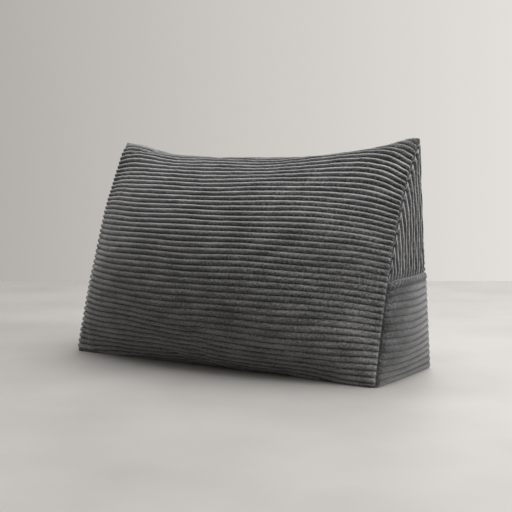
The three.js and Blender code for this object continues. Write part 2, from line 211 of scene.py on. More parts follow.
def drifting(count, lengths, along, seed):
    """For each of a number of ribs, a wavering value of about -1 to 1 along it: a sum of sine waves of
    the given lengths, with seeded phases, divided by the square root of their number."""
    phases = np.random.default_rng(seed).uniform(0, 2 * np.pi, (count, len(lengths), 1))
    turns = 2 * np.pi * along[None, None, :] / np.array(lengths)[None, :, None]
    return np.sin(turns + phases).sum(1) / math.sqrt(len(lengths))


def at_ribs(values, places):
    """Values given at whole ribs, read at places between them in a straight line."""
    low = np.minimum(np.floor(places).astype(int), len(values) - 2)
    share = (places - low)[:, None]
    return values[low] * (1 - share) + values[low + 1] * share


def sections(across):
    """The section at places across the width, -1 at the left seam and 1 at the right one: depth and
    height of its samples from under the front, over the top, to under the back, and their arcs from the
    front corner."""
    fullness = 1 - np.abs(across) ** FULLNESS_POWER
    front = side_curves(FRONT_SIDE, FRONT_CORNER, EAR, fullness)
    back = side_curves(BACK_SIDE, EAR, BACK_CORNER, fullness)
    under = np.array([TUCK, 0])
    places = np.concatenate([front[:, :1] + under, front, back[:, 1:], back[:, -1:] - under], axis=1)
    steps = np.hypot(*np.moveaxis(np.diff(places, axis=1), 2, 0))
    return places, np.pad(np.cumsum(steps, axis=1), ((0, 0), (1, 0))) - TUCK


def splay(side, z):
    """How far an end seam stands out of its plane at a height. The left one goes with the square of the
    distance from half height. The right one eases out towards its tip."""
    left = (LEFT_SPLAY + LEFT_WAIST) * (2 * z / EAR_HEIGHT - 1) ** 2 - LEFT_WAIST
    return np.where(side < 0, left, RIGHT_EAR_SPLAY * ease(z, *RIGHT_EAR_HEIGHTS))


def wrap_surface(across, arc, section, section_arc, roll_height, ribs=0):
    """Places of the wrap at arcs along its sections, a row for each arc. Out of the section it has a roll
    beside the seams, pinched away at the tips, and the ribs. The belly draws its foot back, it swells
    beside the right tip, and it leans out with the seams."""
    depth, z = (read_columns(arc, section_arc, section[:, :, k]) for k in (0, 1))
    ahead = [read_columns(arc + SLOPE_REACH, section_arc, section[:, :, k]) for k in (0, 1)]
    behind = [read_columns(arc - SLOPE_REACH, section_arc, section[:, :, k]) for k in (0, 1)]
    slope_depth, slope_z = ahead[0] - behind[0], ahead[1] - behind[1]
    slope = np.hypot(slope_depth, slope_z)
    x = HALF_WIDTH * across
    from_seam = HALF_WIDTH - np.abs(x)
    ridge_arc = section_arc[:, SAMPLES_PER_SIDE]
    from_ridge = np.abs(arc - ridge_arc)
    lump = np.sin(2 * np.pi * x / LUMP_SIZE[0]) * np.sin(2 * np.pi * arc / LUMP_SIZE[1])
    pinch = 1 - np.exp(-from_ridge / EAR_PINCH_UP - from_seam / EAR_PINCH_ALONG)
    lump = LUMP_HEIGHT * lump * ease(z, 0, RIB_FLATTENED_BELOW)
    roll = (roll_height + lump) * pinch * roll_rise(from_seam)
    tuck = FOOT_TUCK * (1 - np.abs(across) ** FULLNESS_POWER) ** FOOT_TUCK_POWER
    tuck = tuck * (1 - ease(z, 0, FOOT_TUCK_HEIGHT)) * (arc < ridge_arc)
    along = from_seam / RIGHT_EAR_RISE_ALONG
    rise = RIGHT_EAR_RISE * (across > 0) * along * np.exp(1 - along - from_ridge / RIGHT_EAR_RISE_UP)
    depth = depth + tuck - slope_z / slope * (roll + ribs)
    z = np.maximum(z + slope_depth / slope * (roll + ribs) + rise, 0)
    x = x + across * splay(across, np.minimum(z, EAR_HEIGHT))
    return np.stack([x, depth - DEPTH / 2, z], axis=2)


def stuffed(loose):
    """How far the filling pushes out each point of a grid of cloth, from a cloth simulation with pressure
    inside. The grid's rows go round the cushion. Its seams and what touches the floor are held. No point
    moves more than a limit."""
    rows, columns = loose.shape[:2]
    middles = loose[:, [0, -1]].mean(0)
    points = np.concatenate([loose.reshape(-1, 3), middles])
    grid = np.arange(rows * columns).reshape(rows, columns)
    after = np.roll(grid, -1, axis=0)
    skin = np.stack([grid[:, :-1], grid[:, 1:], after[:, 1:], after[:, :-1]], axis=2).reshape(-1, 4)
    left = np.column_stack([grid[:, 0], after[:, 0], np.full(rows, rows * columns)])
    right = np.column_stack([after[:, -1], grid[:, -1], np.full(rows, rows * columns + 1)])
    mesh = bpy.data.meshes.new("loose_cover")
    mesh.from_pydata(points, [], [*skin.tolist(), *left.tolist(), *right.tolist()])
    cover = bpy.data.objects.new("loose_cover", mesh)
    bpy.context.scene.collection.objects.link(cover)

    held = np.zeros((rows, columns), bool)
    held[:, [0, -1]] = True
    held[[0, -1]] = True
    held |= loose[:, :, 2] < HELD_BELOW
    held_points = np.append(np.flatnonzero(held), [rows * columns, rows * columns + 1])
    cover.vertex_groups.new(name="held").add(held_points.tolist(), 1.0, "REPLACE")
    cloth = cover.modifiers.new("filling", "CLOTH").settings
    for name, value in CLOTH_SETTINGS.items():
        setattr(cloth, name, value)
    cloth.effector_weights.gravity = 0
    for step in range(1, CLOTH_STEPS + 1):
        bpy.context.scene.frame_set(step)
    filled = cover.evaluated_get(bpy.context.evaluated_depsgraph_get()).data
    places = np.empty(3 * len(points), np.float32)
    filled.vertices.foreach_get("co", places)
    bpy.context.scene.frame_set(1)
    bpy.data.objects.remove(cover)
    bpy.data.meshes.remove(mesh)

    moved = places.reshape(-1, 3)[:rows * columns].reshape(loose.shape) - loose
    distance = np.linalg.norm(moved, axis=2, keepdims=True)
    return moved * np.minimum(1, CLOTH_LIMIT / np.maximum(distance, 1e-9))


def curve_weights(places, count):
    """A matrix that reads values given at whole numbers, at places between them, along smooth curves
    through the values. Each place takes the four nearest, by cubics whose slope at a value is half the
    step across it."""
    low = np.clip(np.floor(places).astype(int), 0, count - 2)
    t = (places - low)[:, None]
    cubics = np.hstack([
        -t + 2 * t**2 - t**3,
        2 - 5 * t**2 + 3 * t**3,
        t + 4 * t**2 - 3 * t**3,
        t**3 - t**2,
    ]) / 2
    weights = np.zeros((len(places), count))
    for offset, weight in zip((-1, 0, 1, 2), cubics.T):
        np.add.at(weights, (np.arange(len(places)), np.clip(low + offset, 0, count - 1)), weight)
    return weights


half_shares = (np.arange(HALF_COLUMNS + 1) / HALF_COLUMNS) ** COLUMN_CROWDING
across = np.concatenate([half_shares - 1, 1 - half_shares[-2::-1]])
wrap_x = HALF_WIDTH * across
section, section_arc = sections(across)
front_curves = section[:, 1:SAMPLES_PER_SIDE + 1]
back_curves = section[:, SAMPLES_PER_SIDE:2 * SAMPLES_PER_SIDE]
front_arc = section_arc[:, 1:SAMPLES_PER_SIDE + 1]

level_height = LEVEL_RIB_HEIGHT - RIB_DROOP * np.maximum(across, 0) ** RIB_DROOP_POWER
level_arc = read_columns(level_height, front_curves[:, :, 1], front_arc)

rib_places = np.append((np.arange(WRAP_RIBS)[:, None] + RIB_ROWS).ravel(), WRAP_RIBS)
own_waver = drifting(WRAP_RIBS + 1, RIB_WAVER_LENGTHS, wrap_x, RIB_WAVER_SEED)
own_waver = at_ribs(own_waver, rib_places)
shared_turns = 2 * np.pi * (wrap_x[None, :] / CLOTH_WAVER_LENGTH + rib_places[:, None] / CLOTH_WAVER_SLANT)
shared_size = np.sin(2 * np.pi * rib_places[:, None] / CLOTH_WAVER_SPREAD + CLOTH_WAVER_START)
shared_waver = np.sin(shared_turns) * shared_size
from_level = (rib_places[:, None] - LEVEL_RIB) * RIB_PITCH
middle_arc = level_arc[HALF_COLUMNS] + from_level
upper = ease(middle_arc, *UPPER_RIBS[:2]) - ease(middle_arc, *UPPER_RIBS[2:])
lower = 1 - ease(middle_arc, *LOWER_RIBS)
lift, pull = (np.where(across < 0, left, right) for left, right in (UPPER_LIFT, UPPER_PULL))
drift = upper * across**2 * (lift - pull * across**4) - LOWER_TILT * lower * np.sin(np.pi * across)
wrap_arc = level_arc + from_level + drift
slack = 1 - np.abs(across) ** SLACK_POWER
wrap_arc = wrap_arc + (RIB_WAVER * own_waver + CLOTH_WAVER * shared_waver) * slack

from_seam = HALF_WIDTH - np.abs(wrap_x)
wrap_height = read_columns(wrap_arc, section_arc, section[:, :, 1])
off_floor = ease(wrap_height, 0, RIB_FLATTENED_BELOW)
rib_size = drifting(WRAP_RIBS + 1, RIB_SIZE_LENGTHS, wrap_x, RIB_SIZE_SEED)
rib_size = 1 + RIB_SIZE_WAVER * at_ribs(rib_size, rib_places)
wrap_rib = rib_profile(rib_places)[:, None] * off_floor
wrap_rib = wrap_rib * roll_rise(from_seam, RIB_END_LENGTH)
from_ridge = np.abs(wrap_arc - front_arc[:, -1])
# Painted light on the wrap: the painted highlight and top-lit flat shade grow with height and are cut back
# along the top, down the back and at the right end. Painted shade darkens the top, and near the floor the
# paleness goes to nothing as painted contact shade.
on_ridge = np.exp(-(from_ridge / RIDGE_PAINT_REACH) ** 2)
ridge_highlight_cut = np.maximum(on_ridge, wrap_arc > front_arc[:, -1])
highlight_share = ease(wrap_height, *HIGHLIGHT_HEIGHTS) * (1 - RIDGE_HIGHLIGHT_CUT * ridge_highlight_cut)
highlight_share = highlight_share * (1 - RIGHT_HIGHLIGHT_CUT * ease(across, RIGHT_HIGHLIGHT_CUT_FROM, 1))
wrap_pile = rib_tone_and_painted_light(rib_places[:, None], highlight_share) * off_floor * roll_rise(from_seam, SEAM_DARK_LENGTH)
wrap_pile = wrap_pile * (1 - RIDGE_PAINTED_SHADE * on_ridge)
wrap_rib = wrap_rib * (1 - np.exp(-from_ridge / TIP_FLAT[0] - from_seam / TIP_FLAT[1]))
wrap_rib = wrap_rib * (1 - RIDGE_FLATTENED * np.exp(-(from_ridge / RIDGE_REACH) ** 2))
rib_heights = RIB_HEIGHT * rib_size * wrap_rib
wrap_points = wrap_surface(across, wrap_arc, section, section_arc, LOOSE_ROLL, rib_heights)
rib_end = wrap_rib * from_seam / RIB_END_PEAK * np.exp(1 - from_seam / RIB_END_PEAK)
wrap_points[:, :, 0] += RIB_END_REACH * np.sign(across) * rib_end

# The filling pushes out a coarse grid of the wrap, and the ribbed one follows it.
grid_across = np.linspace(-1, 1, LOOSE_COLUMNS)
grid_section, grid_arc = sections(grid_across)
grid_arc_rows = grid_arc[:, 1:2 * SAMPLES_PER_SIDE:LOOSE_STEP].T
swell = stuffed(wrap_surface(grid_across, grid_arc_rows, grid_section, grid_arc, LOOSE_ROLL))
grid_rows = len(grid_arc_rows)
shares = np.linspace(0, 1, LOOSE_SPLIT * (grid_rows - 1) + 1)
to_rows = curve_weights(shares * (grid_rows - 1), grid_rows)
to_columns = curve_weights((across + 1) / 2 * (LOOSE_COLUMNS - 1), LOOSE_COLUMNS)
swell = np.einsum("sr,vc,rck->kvs", to_rows, to_columns, swell, optimize=True)
section_shares = (np.arange(section.shape[1]) - 1) / (2 * SAMPLES_PER_SIDE - 2)
section_shares = np.broadcast_to(section_shares, section_arc.shape)
wrap_shares = read_columns(wrap_arc, section_arc, section_shares)
knots = np.broadcast_to(shares, swell.shape[1:])
wrap_points = wrap_points + np.stack([read_columns(wrap_shares, knots, part) for part in swell], axis=2)
wrap_points[:, :, 2] = np.maximum(wrap_points[:, :, 2], 0)

# The base is the same length of cloth, closed under the cushion.
base_share = np.arange(1, BASE_ROWS)[:, None] / BASE_ROWS
base_points = wrap_points[-1] + (wrap_points[0] - wrap_points[-1]) * base_share[:, :, None]
wrap_points = np.concatenate([wrap_points, base_points])
wrap_pile = np.concatenate([wrap_pile, np.zeros((BASE_ROWS - 1, len(across)))])
wrap_arc = np.concatenate([wrap_arc, wrap_arc[-1] + base_share * RIB_PITCH])
wrap_rows, wrap_columns = wrap_arc.shape
wrap_cloth = np.stack([wrap_points[:, :, 0], wrap_arc, np.zeros_like(wrap_arc)], axis=2)


# The end panels: a three-cornered piece of the same corduroy sewn into each end. Its ribs stand up,
# parallel to the back seam, and the sloping front seam cuts them off. The filling swells the panel out of
# its seams.

END_CROWN = 0.004  # how far a panel swells at its fullest
END_CROWN_SPREAD = 0.7  # under 1 makes it blunter across
END_SEAM_ROLL = 0.001
END_DARK_LENGTH = 0.003  # over which the pile hides the dark of a seam
END_HIGHLIGHT_SHARE = 0.81  # share of painted highlight on its ribs,
END_HIGHLIGHT_SIDE = 0.34  # so that each rib is palest here, from its back edge, where light from behind catches it
END_WAVER_UP = 0.047  # length of the waves in a rib's height, up the panel
END_WAVER_ACROSS = 0.023
END_CLOTH_PLACE = 2  # metres along the cloth, so that the panels and the wrap aren't mottled alike
LEFT_CROWN_FROM = -0.060  # heights from which the panels swell: the right one only above its pocket
RIGHT_CROWN_FROM = 0.160
PRESSED_UNDER_POCKET = (0.160, 0.172)  # heights over which the right panel's ribs appear
END_INSET = 0.0012  # of the panel's own grid inside its seams
END_LINE_POINTS = 60
FRONT_CORNER_HEIGHT = 0.004  # of the panel's shortest line, beside the front corner

seam_front = front_curves[0]
seam_back = back_curves[0]


def front_edge(z):
    """Depth of the front seam at a height."""
    return np.interp(z, seam_front[:, 1], seam_front[:, 0])


def back_edge(z):
    """Depth of the back seam at a height."""
    return np.interp(z, seam_back[::-1, 1], seam_back[::-1, 0])


def end_bulge(side, depth, z):
    """How far an end panel stands out of its seams: a crown, sine squared upwards and a blunted parabola
    across, and a roll that rises from each seam."""
    from_front = depth - front_edge(z)
    from_back = back_edge(z) - depth
    share = np.clip(from_front / (from_front + from_back), 0, 1)
    crown_from = RIGHT_CROWN_FROM if side > 0 else LEFT_CROWN_FROM
    up = np.maximum(z - crown_from, 0) / (EAR_HEIGHT - crown_from)
    crown = np.sin(np.pi * up) ** 2 * (4 * share * (1 - share)) ** END_CROWN_SPREAD
    return END_CROWN * crown + END_SEAM_ROLL * roll_rise(from_front) * roll_rise(from_back) * roll_rise(z)


def end_panel(side):
    """Points, paleness of the pile, painted highlight and groove shade included, and places on the cloth of
    an end panel, on lines at a constant distance in front of the back seam. Each line rises from the floor
    to where the front seam cuts it off."""
    heights = np.linspace(FRONT_CORNER_HEIGHT, EAR_HEIGHT, SAMPLES_PER_SIDE)
    widths = back_edge(heights) - front_edge(heights) - END_INSET
    rib_count = int(widths[0] / RIB_PITCH) + 1
    from_back = (np.arange(rib_count)[:, None] + RIB_ROWS).ravel() * RIB_PITCH
    from_back = from_back[(from_back > 2 * END_INSET) & (from_back < widths[0])]
    from_back = np.concatenate([[END_INSET], from_back, widths[:1]])
    top = np.interp(from_back, widths[::-1], heights[::-1])[:, None]
    z = END_INSET + (top - END_INSET) * np.linspace(0, 1, END_LINE_POINTS)
    depth = back_edge(z) - from_back[:, None]
    shown = ease(z, *PRESSED_UNDER_POCKET) if side > 0 else ease(z, 0, RIB_FLATTENED_BELOW)
    to_seam = np.minimum(depth - front_edge(z), from_back[:, None])
    pile = rib_tone_and_painted_light(from_back / RIB_PITCH, END_HIGHLIGHT_SHARE, END_HIGHLIGHT_SIDE)[:, None] * shown
    pile = pile * roll_rise(to_seam, END_DARK_LENGTH)
    rib = rib_profile(from_back / RIB_PITCH)[:, None] * shown
    rib = rib * roll_rise(to_seam, RIB_END_LENGTH)
    turns = z / END_WAVER_UP + from_back[:, None] / END_WAVER_ACROSS
    wavering = 1 + RIB_SIZE_WAVER * np.sin(2 * np.pi * turns)
    x = side * (HALF_WIDTH + splay(side, z) + end_bulge(side, depth, z) + RIB_HEIGHT * wavering * rib)
    across_ribs = END_CLOTH_PLACE + side + np.broadcast_to(from_back[:, None], z.shape)
    cloth = np.stack([z, across_ribs, np.ones_like(z)], axis=2)
    return np.stack([x, depth - DEPTH / 2, z], axis=2), pile, cloth


# The cover sewn together: the wrap closed round on itself, and each end panel joined to the wrap's end
# along the seams. Stuffed, it is the cushion.

FLOOR_LINE = 1.01 * END_INSET  # a point of an end's outline is on its floor side up to this height
PAST_OUTLINE = 4  # more than any place along an outline


def grid_faces(rows, columns, first=0, closed=False):
    """Four-cornered faces of a grid of points numbered row by row from first. A closed grid joins its
    last row to its first."""
    row = np.arange(rows if closed else rows - 1)[:, None]
    column = np.arange(columns - 1)[None, :]
    here = row * columns + column
    above = (row + 1) % rows * columns + column
    return first + np.stack([here, here + 1, above + 1, above], axis=2).reshape(-1, 4)


def seam_key(points):
    """Place along an end's outline: height share up the front seam (0 to 1), down the back seam (1 to 2),
    then depth share along the floor towards the front (2 to 3). Points are a loop that starts at the
    front corner."""
    height = points[:, 2] / EAR_HEIGHT
    tip = np.argmax(height)
    order = np.arange(len(points))
    on_floor = (order > tip) & (height <= FLOOR_LINE / EAR_HEIGHT)
    along_floor = 2 + (DEPTH / 2 - points[:, 1]) / DEPTH
    return np.where(order <= tip, height, np.where(on_floor, along_floor, 2 - height))


def sew(outer, outer_key, inner, inner_key):
    """Triangles between two loops of point numbers that go the same way round. Both loops are walked
    together, and each step goes to whichever next point has the lower key."""
    next_keys = np.concatenate([outer_key[1:], [PAST_OUTLINE], inner_key[1:], [PAST_OUTLINE]])
    order = np.argsort(next_keys, kind="stable")
    on_outer = order < len(outer)
    i = np.cumsum(on_outer) - on_outer
    j = np.cumsum(~on_outer) - ~on_outer
    third = np.where(on_outer, outer[(i + 1) % len(outer)], inner[(j + 1) % len(inner)])
    return np.stack([outer[i % len(outer)], third, inner[j % len(inner)]], axis=1)


def cloth_mesh(name, points, quads, triangles, pile, cloth):
    """A mesh from whole arrays of points and faces. Each point carries how pale the pile is drawn there,
    painted highlight and shade included, and its place on the cloth: along the ribs, across them, and in
    which layer."""
    mesh = bpy.data.meshes.new(name)
    mesh.vertices.add(len(points))
    mesh.vertices.foreach_set("co", points.astype(np.float32).ravel())
    corners = np.concatenate([quads.ravel(), triangles.ravel()])
    mesh.loops.add(len(corners))
    mesh.loops.foreach_set("vertex_index", corners.astype(np.int32))
    starts = np.concatenate([4 * np.arange(len(quads)), quads.size + 3 * np.arange(len(triangles))])
    mesh.polygons.add(len(starts))
    mesh.polygons.foreach_set("loop_start", starts.astype(np.int32))
    mesh.polygons.foreach_set("use_smooth", np.ones(len(starts), bool))
    mesh.update(calc_edges=True)
    pale = mesh.attributes.new("pile", "FLOAT", "POINT")
    pale.data.foreach_set("value", pile.astype(np.float32).ravel())
    place = mesh.attributes.new("cloth", "FLOAT_VECTOR", "POINT")
    place.data.foreach_set("vector", cloth.astype(np.float32).ravel())
    piece = bpy.data.objects.new(name, mesh)
    bpy.context.scene.collection.objects.link(piece)
    return piece


points, pile, cloth = [wrap_points.reshape(-1, 3)], [wrap_pile.ravel()], [wrap_cloth.reshape(-1, 3)]
quads = [grid_faces(wrap_rows, wrap_columns, closed=True)]
triangles = []
first = wrap_rows * wrap_columns
for side, column in ((-1, 0), (1, wrap_columns - 1)):
    panel_points, panel_pile, panel_cloth = end_panel(side)
    lines, levels = panel_pile.shape
    panel_quads = grid_faces(lines, levels, first)
    numbers = first + np.arange(lines * levels).reshape(lines, levels)
    inner = np.concatenate([numbers[-1, :-1], numbers[:0:-1, -1], numbers[0, :0:-1], numbers[:-1, 0]])
    outer = np.arange(wrap_rows) * wrap_columns + column
    outer = np.roll(outer, -int(np.argmax(wrap_points[:, column, 2] > 0)))
    outer_key = seam_key(wrap_points.reshape(-1, 3)[outer])
    inner_key = seam_key(panel_points.reshape(-1, 3)[inner - first])
    seam_strip = sew(outer, outer_key, inner, inner_key)
    quads.append(panel_quads if side < 0 else panel_quads[:, ::-1])
    triangles.append(seam_strip if side < 0 else seam_strip[:, ::-1])
    points.append(panel_points.reshape(-1, 3))
    pile.append(panel_pile.ravel())
    cloth.append(panel_cloth.reshape(-1, 3))
    first += lines * levels

cushion_arrays = (np.concatenate(part) for part in (points, quads, triangles, pile, cloth))
cushion = cloth_mesh("corduroy_cushion", *cushion_arrays)


class Value:
    """A shader socket that carries a number. Arithmetic with it adds Math nodes and gives another
    Value."""

    def __init__(self, socket):
        self.socket = socket

    def math(self, operation, other):
        tree = self.socket.id_data
        node = tree.nodes.new("ShaderNodeMath")
        node.operation = operation
        for place, term in zip(node.inputs, (self, other)):
            if isinstance(term, Value):
                tree.links.new(term.socket, place)
            else:
                place.default_value = term
        return Value(node.outputs["Value"])

    def __add__(self, other):
        return self.math("ADD", other)

    def __sub__(self, other):
        return self.math("SUBTRACT", other)

    def __mul__(self, other):
        return self.math("MULTIPLY", other)


class Finish:
    """The node tree of a finish. add() makes any node: its settings are set first, then its sockets'
    values or links."""

    def __init__(self, owner):
        owner.use_nodes = True
        self.tree = owner.node_tree
        self.tree.nodes.clear()

    def add(self, kind, settings=None, sockets=None):
        node = self.tree.nodes.new(kind)
        for name, value in (settings or {}).items():
            setattr(node, name, value)
        for name, value in (sockets or {}).items():
            if isinstance(value, Value):
                self.tree.links.new(value.socket, node.inputs[name])
            elif isinstance(value, bpy.types.NodeSocket):
                self.tree.links.new(value, node.inputs[name])
            else:
                node.inputs[name].default_value = value
        return node

    def noise(self, vector, scale, detail=2.0):
        """Noise of 0 to 1, with so many bumps a metre."""
        sockets = {"Vector": vector, "Scale": scale, "Detail": detail}
        return Value(self.add("ShaderNodeTexNoise", {}, sockets).outputs["Fac"])

    def mix(self, share, first, second):
        """A colour between two: the mix node's sockets 6 and 7, and its output 2, are those of
        colours."""
        sockets = {"Factor": share, 6: first, 7: second}
        settings = {"data_type": "RGBA"}
        return self.add("ShaderNodeMix", settings, sockets).outputs[2]


# The groove grey is also the painted groove shade, and the crest grey the colour of the painted highlight
# on the ribs.
GROOVE_GREY = (0.015, 0.015, 0.0154, 1)
CREST_GREY = (0.430, 0.430, 0.432, 1)
TUFT_LENGTH = 0.0037
PILE_GRAIN = 1  # strength of the mottling
SPECKS_PER_METRE = 800.0
FIBRES_PER_METRE = 1600.0
PATCHES_PER_METRE = 60.0  # of pile brushed the other way,
PATCH_STRETCH = (0.35, 1, 1)  # drawn out along the ribs
TUFT_MOTTLE = 0.45  # share of each in the mottling
SPECK_MOTTLE = 0.8
PATCH_MOTTLE = 0.3
TUFT_BUMP = 0.5  # share of each in the bump
SPECK_BUMP = 0.3
FIBRE_BUMP = 0.2
BUMP_DEPTH = 0.0012
PILE_CONTRAST = 0.9  # share of the way from groove to crest that the palest pile goes,
PILE_LEAST = 0.01  # and that the darkest goes
PILE_SHEEN = 0.45
PILE_SHEEN_TINT = (0.80, 0.80, 0.82, 1)


def corduroy(name, groove, crest, tuft_length, grain):
    """Cut pile. Its colour goes from a dark groove to a paler crest by how pale the pile is drawn, which
    carries painted shade in the grooves and a painted highlight along each rib. Tufts of a given length,
    specks, and patches of pile lying the other way and drawn out along the ribs mottle it, by the strength
    of its grain. Tufts, specks and fibres roughen it as a bump."""
    material = bpy.data.materials.new(name)
    finish = Finish(material)
    paleness = Value(finish.add("ShaderNodeAttribute", {"attribute_name": "pile"}).outputs["Fac"])
    place = finish.add("ShaderNodeAttribute", {"attribute_name": "cloth"}).outputs["Vector"]
    drawn = finish.add("ShaderNodeVectorMath", {"operation": "MULTIPLY"}, {0: place, 1: PATCH_STRETCH})
    tufts = finish.noise(place, 1 / tuft_length)
    specks = finish.noise(place, SPECKS_PER_METRE, 1.0)
    patches = finish.noise(drawn.outputs[0], PATCHES_PER_METRE)
    fibres = finish.noise(place, FIBRES_PER_METRE, 1.0)
    mottling = (tufts - 0.5) * TUFT_MOTTLE + (specks - 0.5) * SPECK_MOTTLE + (patches - 0.5) * PATCH_MOTTLE
    shade = paleness * PILE_CONTRAST + mottling * grain + PILE_LEAST
    colour = finish.mix(shade, groove, crest)
    bump_height = tufts * TUFT_BUMP + specks * SPECK_BUMP + fibres * FIBRE_BUMP
    bump_sockets = {"Strength": 0.5, "Distance": BUMP_DEPTH, "Height": bump_height}
    bump = finish.add("ShaderNodeBump", {}, bump_sockets)
    shader = finish.add("ShaderNodeBsdfPrincipled", {}, {
        "Base Color": colour,
        "Roughness": 0.95,
        "Specular IOR Level": 0.1,
        "Sheen Weight": PILE_SHEEN,
        "Sheen Roughness": 0.45,
        "Sheen Tint": PILE_SHEEN_TINT,
        "Normal": bump.outputs["Normal"],
    })
    finish.add("ShaderNodeOutputMaterial", {}, {"Surface": shader.outputs["BSDF"]})
    return material


cushion_finish = corduroy("charcoal_corduroy", GROOVE_GREY, CREST_GREY, TUFT_LENGTH, PILE_GRAIN)
cushion.data.materials.append(cushion_finish)
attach(cushion, "root")
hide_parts("cushion_body")


# The pocket: a patch of the corduroy with its ribs level, caught in the front, back and bottom seams of the
# right end panel. Its mouth is hemmed and taut, and its belly hangs a little open.

POCKET_HEIGHT = 0.163
POCKET_FLOOR_GAP = 0.0008
POCKET_THICKNESS = 0.002
POCKET_SEWN_SHARE = 0.25  # of that thickness is left in the front seam,
POCKET_SEWN_LENGTH = 0.005  # and all of it at this distance from there
POCKET_STANDOFF = 0.0004  # of its sewn edges from the end panel
POCKET_SEAM_INSET = 0.0010
POCKET_MOUTH_REACH = 0.011  # of the mouth's inner face from the plane of the end seams
POCKET_BELLY_REACH = 0.0155  # of the inner face where it hangs fullest
POCKET_SWELL_HEIGHT = 0.070  # over which it swells out from the floor
POCKET_SWELL_POWER = 0.8  # under 1 makes it swell out sooner
POCKET_RIDGE_SHIFT = 0.8  # under 1 puts its fullest place nearer the front
POCKET_RIDGE_POWER = 0.9  # under 1 makes it blunter across
POCKET_RIBS = 15
POCKET_RIB_HEIGHT = 0.0021
POCKET_RIB_EDGE = 0.0010  # over which a rib rises from a sewn edge
POCKET_SAG = 0.0048  # of the middle rib's middle
MOUTH_DIP = 0.007  # of the mouth at the front seam
MOUTH_DIP_SHARE = 0.1  # share of the width over which that fades
HEM_RAISE = 1.25  # height of the hem's rib, against the others
HEM_TWIST = 0.35  # share by which the hem swells and sinks between its stitches
HEM_STITCH_LENGTH = 0.0085
POCKET_COLUMNS = 141
POCKET_HIGHLIGHT_SHARE = 0.15  # share of painted highlight on its ribs
# The pocket's greys are a darker copy of the wrap's corduroy: painted shade on the same cloth.
POCKET_SHADED_GROOVE_GREY = (0.020, 0.020, 0.0204, 1)
POCKET_SHADED_CREST_GREY = (0.138, 0.138, 0.140, 1)
POCKET_TUFT_LENGTH = 0.0044
POCKET_GRAIN = 2.6
POCKET_LAYER = 7  # of the cloth, so that it isn't mottled as the wrap or the end panels are

share_across = 0.5 - 0.5 * np.cos(np.pi * np.linspace(0, 1, POCKET_COLUMNS))[None, :]
rib_up = np.append((np.arange(POCKET_RIBS)[:, None] + RIB_ROWS).ravel(), POCKET_RIBS)[:, None]
mouth = POCKET_HEIGHT - MOUTH_DIP * np.exp(-share_across / MOUTH_DIP_SHARE)
full_across = np.sin(np.pi * share_across**POCKET_RIDGE_SHIFT)
pocket_sag = POCKET_SAG * full_across * np.sin(np.pi * rib_up / POCKET_RIBS)
pocket_z = POCKET_FLOOR_GAP + (mouth - POCKET_FLOOR_GAP) * rib_up / POCKET_RIBS - pocket_sag
sewn_width = back_edge(pocket_z) - front_edge(pocket_z) - 2 * POCKET_SEAM_INSET
pocket_depth = front_edge(pocket_z) + POCKET_SEAM_INSET + sewn_width * share_across
swell_across = np.abs(full_across) ** POCKET_RIDGE_POWER
swell_up = np.sin(np.pi / 2 * np.minimum(pocket_z / POCKET_SWELL_HEIGHT, 1)) ** POCKET_SWELL_POWER
belly = np.sin(np.pi * np.minimum(pocket_z / POCKET_HEIGHT, 1))
reach = POCKET_MOUTH_REACH + (POCKET_BELLY_REACH - POCKET_MOUTH_REACH) * belly
sewn_reach = end_bulge(1, pocket_depth, pocket_z) + POCKET_STANDOFF
inner_reach = sewn_reach + (reach - sewn_reach) * swell_across * swell_up
to_edge = np.minimum(sewn_width * np.minimum(share_across, 1 - share_across), pocket_z)
on_hem = rib_up > POCKET_RIBS - 1
twist = HEM_TWIST * np.sin(2 * np.pi * (pocket_depth / HEM_STITCH_LENGTH - rib_up))
stitches = np.where(on_hem, 1 + twist, 1)
hem = np.where(on_hem, HEM_RAISE, 1) * stitches
pocket_pile = rib_tone_and_painted_light(rib_up, POCKET_HIGHLIGHT_SHARE) * stitches * roll_rise(to_edge, SEAM_DARK_LENGTH)
pocket_rib = rib_profile(rib_up) * hem * ease(to_edge, 0, POCKET_RIB_EDGE)
from_front_seam = ease(sewn_width * share_across, 0, POCKET_SEWN_LENGTH)
sewn_in = POCKET_SEWN_SHARE + (1 - POCKET_SEWN_SHARE) * from_front_seam
outer_reach = inner_reach + POCKET_THICKNESS * sewn_in + POCKET_RIB_HEIGHT * pocket_rib

pocket_rows, pocket_columns = pocket_z.shape
pocket_y = pocket_depth - DEPTH / 2
faces_out = np.stack([HALF_WIDTH + outer_reach, pocket_y, pocket_z], axis=2).reshape(-1, 3)
faces_in = np.stack([HALF_WIDTH + inner_reach, pocket_y, pocket_z], axis=2).reshape(-1, 3)
outer_numbers = np.arange(pocket_rows * pocket_columns).reshape(pocket_rows, pocket_columns)
rim = np.concatenate([
    outer_numbers[0, :-1],
    outer_numbers[:-1, -1],
    outer_numbers[-1, :0:-1],
    outer_numbers[:0:-1, 0],
])
next_rim = np.roll(rim, -1)
inner_first = outer_numbers.size
rim_faces = np.stack([rim, inner_first + rim, inner_first + next_rim, next_rim], axis=1)
pocket_quads = np.concatenate([
    grid_faces(pocket_rows, pocket_columns),
    grid_faces(pocket_rows, pocket_columns, inner_first)[:, ::-1],
    rim_faces,
])
pocket_points = np.concatenate([faces_out, faces_in])
pocket_pile = np.concatenate([pocket_pile.ravel(), np.zeros(inner_first)])
pocket_cloth = np.stack([pocket_y, pocket_z, np.full_like(pocket_z, POCKET_LAYER)], axis=2).reshape(-1, 3)
pocket_cloth = np.concatenate([pocket_cloth, pocket_cloth + (0, 0, 1)])
no_triangles = np.empty((0, 3), int)
pocket = cloth_mesh("side_pocket_patch", pocket_points, pocket_quads, no_triangles,
                    pocket_pile, pocket_cloth)
